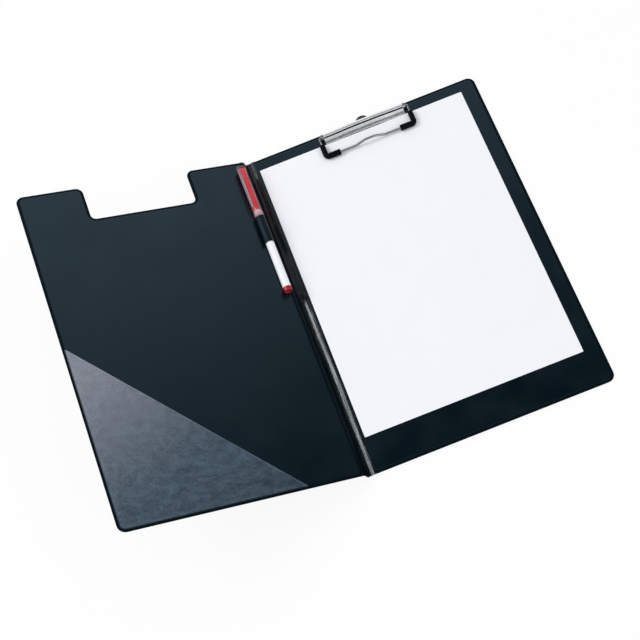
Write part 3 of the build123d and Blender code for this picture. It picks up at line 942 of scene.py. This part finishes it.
def plateSection(rise):  # flat strip and a barrel rolled from it, open along a seam
    plate = plateSize
    middle = (plate["barrel"] + plate["bore"]) / 2
    low, edge, lip, thick = plate["bottom"] + rise, plate["edge"], plate["lipRound"], plate["lipHalf"]
    high, front = low + plate["sheet"], plate["front"]
    first, second = plate["seam"]

    def spot(radius, degrees):
        angle = math.radians(degrees)
        return (clipSize["barrelY"] + radius * math.cos(angle),
                clipSize["barrelZ"] + rise + radius * math.sin(angle))

    def arc(radius, start, end, steps):
        return [spot(radius, degrees) for degrees in evenly(start, end, steps)]

    section = [(front, low + edge), (front + edge, low), (front + plate["flat"], low)]
    section += arc(plate["barrel"], -90, first - lip, plate["barrelSteps"])
    section += [spot(middle + thick, first), spot(middle - thick, first)]
    section += arc(plate["bore"], first - lip, second + lip - 360, plate["boreSteps"])
    section += [spot(middle - thick, second), spot(middle + thick, second)]
    section += arc(plate["barrel"], second + lip, plate["strip"], plate["lipSteps"])
    section += [(front + reach, high + lift) for reach, lift in plate["dish"]]
    return section + [(front + edge, high), (front, high - edge)]


def makePlate():
    plate, clip = plateSize, clipSize
    half = plate["places"] + evenly(plate["riseEnd"], plate["riseStart"], plate["riseSteps"])
    half += [plate["lastPlace"], plate["stripHalf"]]
    places = [-x for x in reversed(half[1:])] + half
    points, faces = capped([[(x, y, z) for y, z in plateSection(riseAt(x))] for x in places])
    bore, ease = plate["endBore"], plate["endEase"]
    start, end = plate["stripHalf"] - plate["endOverlap"], plate["halfWidth"]
    profile = [(plate["barrel"], start)]
    profile += [(plate["barrel"] - inward, end - short) for inward, short in plate["endRound"]]
    profile += [(bore + ease, end), (bore, end - ease), (bore, start)]
    for side in (-1, 1):  # plain barrel ends, closed in about the wire
        place = Matrix.Translation((0, clip["barrelY"], clip["barrelZ"]))
        place = place @ Matrix.Rotation(side * math.pi / 2, 4, "Y")
        endPoints, endFaces = turned(profile, plate["endSides"])
        shift = len(points)
        points += [place @ Vector(point) for point in endPoints]
        faces += [tuple(index + shift for index in face) for face in endFaces]
    piece = makePiece("clipPlate", points, faces, "nickel_plate", "back_panel", ["clip_plate"], crease=38,
                      looks=["nickel_plate", "barrelInsidePaintedShade", "wire"])
    for face in piece.data.polygons:  # painted shade: the inside of the barrel gets a dark, dull copy of the nickel, and its ends the darkened wire metal
        x, y, z = face.center / mm
        out = math.hypot(y - clip["barrelY"], z - clip["barrelZ"] - riseAt(x))
        if abs(x) > plate["stripHalf"] + 0.01:
            face.material_index = 2
        elif abs(x) < plate["stripHalf"] - 1 and out < plate["bore"] + 0.2:
            face.material_index = 1


makePlate()


eyeSize = {  # corners are x, y and radius
    "corners": [(-11.5, 161.6, 0.4), (11.5, 161.6, 0.4), (11.5, 163.2, 0.5), (7.0, 163.2, 0.4),
                (7.0, 176.2, 6.95), (-7.0, 176.2, 6.95), (-7.0, 163.2, 0.4), (-11.5, 163.2, 0.5)],
    "hole": 2.5, "holeY": 169.7, "holeSteps": 40, "cornerSteps": 8, "bottom": 2.3, "top": 2.9, "edge": 0.15,
}


def makeEye():
    eye = eyeSize
    low, high, edge = eye["bottom"], eye["top"], eye["edge"]
    levels = [(edge, low), (0, low + edge), (0, high - edge), (edge * 0.3, high - edge * 0.3), (edge, high)]
    points, faces = [], []
    joinRings(outlineRings(eye["corners"], levels, eye["cornerSteps"]), points, faces)
    joinRings([circle(0, eye["holeY"], z, eye["hole"] + inset, eye["holeSteps"]) for inset, z in levels],
              points, faces)
    points, faces = filledLevels(points, faces, (low, high))
    makePiece("hangingEye", points, faces, "black_lacquer", "hanger", ["hanging_eye"])


paperSize = {  # each sheet's shift across and up, underside and top
    "left": -110.7, "right": 98.95, "bottom": -137.0, "top": 159.55, "corner": 0.3, "cornerSteps": 4,
    "easeIn": 0.03, "easeUp": 0.02,
    "sheets": [(0.35, 0.25, 2.25, 2.34), (0.0, 0.45, 2.35, 2.44), (0.2, 0.0, 2.45, 2.545)],
}


def makePaper():
    paper = paperSize
    ease = paper["easeIn"]
    points, faces = [], []
    for across, up, low, high in paper["sheets"]:
        corners = []
        for x, y in (("left", "bottom"), ("right", "bottom"), ("right", "top"), ("left", "top")):
            corners.append((paper[x] + across, paper[y] + up, paper["corner"]))
        levels = [(ease, low), (0, low + paper["easeUp"]), (0, high - paper["easeUp"]), (ease, high)]
        points, faces = capped(outlineRings(corners, levels, paper["cornerSteps"]), points, faces)
    makePiece("paperSheets", points, faces, "white_paper", "paper", ["paper_sheets"], crease=30)


makeEye()
makePaper()
print("clip, eye and paper made")


def dressNodes():  # the frame's own solids that stay, each in its finish
    slots = {entry["node"]: entry["material_slot"] for entry in frame["record"]["subparts"]}
    for name, node in frame["nodes"].items():
        if not node.hide_render:
            node.data.materials.clear()
            node.data.materials.append(finishes[slots[name]])
            node.data.shade_smooth()
            node.data.set_sharp_from_angle(angle=math.radians(30))


dressNodes()
print("nodes dressed")


floorSize = {"half": 3.0, "drop": 0.0006, "steps": 12, "glow": 0.9}


def makeFloor():  # white to the camera and in mirrors
    edge = evenly(-floorSize["half"], floorSize["half"], floorSize["steps"])
    points, faces = [], []
    joinRings([[(x, y, -floorSize["drop"]) for x in edge] for y in edge], points, faces, False)
    mesh = bpy.data.meshes.new("floor")
    mesh.from_pydata(points, [], faces)
    made = Finish("floorWhite", {"Roughness": 0.9, "Specular IOR Level": 0.0, "Base Color": (0.9, 0.9, 0.9)})
    rays = made.allOf(made.node("ShaderNodeLightPath"))
    seen = made.larger(made.larger(rays["Is Camera Ray"], rays["Is Glossy Ray"]), rays["Is Transmission Ray"])
    lit = Wire(made, made.shader.outputs[0])
    white = made.glow((1, 1, 1), 1.0)
    both = made.blend(seen * floorSize["glow"], lit, white)
    made.plug(made.tree.nodes["Material Output"].inputs["Surface"], both)
    mesh.materials.append(made.material)
    placed("floor", mesh)


sky = {  # the even light, then what mirrors show by direction
    "light": 0.75, "tint": (0.97, 0.98, 1.0), "turn": 0.12, "rear": (0.41, 0.60, 0.0, 1.0),
    "front": (0.06, 0.20, 0.7, 0.0), "horizon": (0.08, 0.3, 0.8, 0.0), "darkSide": (0.58, 0.8, 1.0, 0.1),
}


def makeWorld():
    world = bpy.data.worlds.new("studio")
    bpy.context.scene.world = world
    world.use_nodes = True
    made = Sheet(world.node_tree)
    made.tree.nodes.clear()
    rays = made.allOf(made.node("ShaderNodeLightPath"))
    way = made.apart(made.node("ShaderNodeTexCoord", output="Generated"))
    swept = way["Y"] + way["X"] * sky["turn"]
    shown = made.larger(made.fit(swept, *sky["rear"], "SMOOTHSTEP"), made.fit(swept, *sky["front"]))
    shown = made.larger(shown, made.fit(way["Z"], *sky["horizon"], "SMOOTHSTEP"))
    shown = shown * made.fit(way["X"], *sky["darkSide"])
    plain = made.glow(sky["tint"], sky["light"], "ShaderNodeBackground")
    mirror = made.glow((1, 1, 1), shown, "ShaderNodeBackground")
    white = made.glow((1, 1, 1), 1.0, "ShaderNodeBackground")
    seen = made.larger(rays["Is Glossy Ray"], rays["Is Transmission Ray"])
    both = made.blend(rays["Is Camera Ray"], made.blend(seen, plain, mirror), white)
    made.node("ShaderNodeOutputWorld", None, {"Surface": both})


lamps = {
    "keyLamp": {"place": (-1.135, 0.66, 1.19), "aim": (-0.05, 0, 0), "size": 0.7, "power": 10.5,
                "colour": (1, 0.99, 0.98)},
    "fillLamp": {"place": (0.9, -1.1, 1.0), "aim": (0, 0, 0), "size": 1.4, "power": 5.5,
                 "colour": (0.97, 0.98, 1)},
}


def makeLamps():
    for name, values in lamps.items():
        lamp = bpy.data.lights.new(name, "AREA")
        lamp.shape = "DISK"
        lamp.size = values["size"]
        lamp.energy = values["power"]
        lamp.color = values["colour"]
        holder = placed(name, lamp)
        holder.location = values["place"]
        way = Vector(values["aim"]) - Vector(values["place"])
        holder.rotation_euler = way.to_track_quat("-Z", "Y").to_euler()


view = {  # the camera: turns are in degrees about X, Y and Z
    "place": (-0.111112, -0.655716, 1.360808), "turns": (23.78870537, 8.97183348, -19.62666002),
    "lens": 91.30888, "sensor": 36, "nearest": 0.05,
}


def makeCamera():
    camera = placed("camera", bpy.data.cameras.new("camera"))
    camera.data.sensor_width = view["sensor"]
    camera.data.lens = view["lens"]
    camera.data.clip_start = view["nearest"]
    camera.location = view["place"]
    camera.rotation_euler = [math.radians(turn) for turn in view["turns"]]
    bpy.context.scene.camera = camera


makeFloor()
makeWorld()
makeLamps()
makeCamera()
bpy.context.scene.view_settings.view_transform = "Standard"
print("studio made")
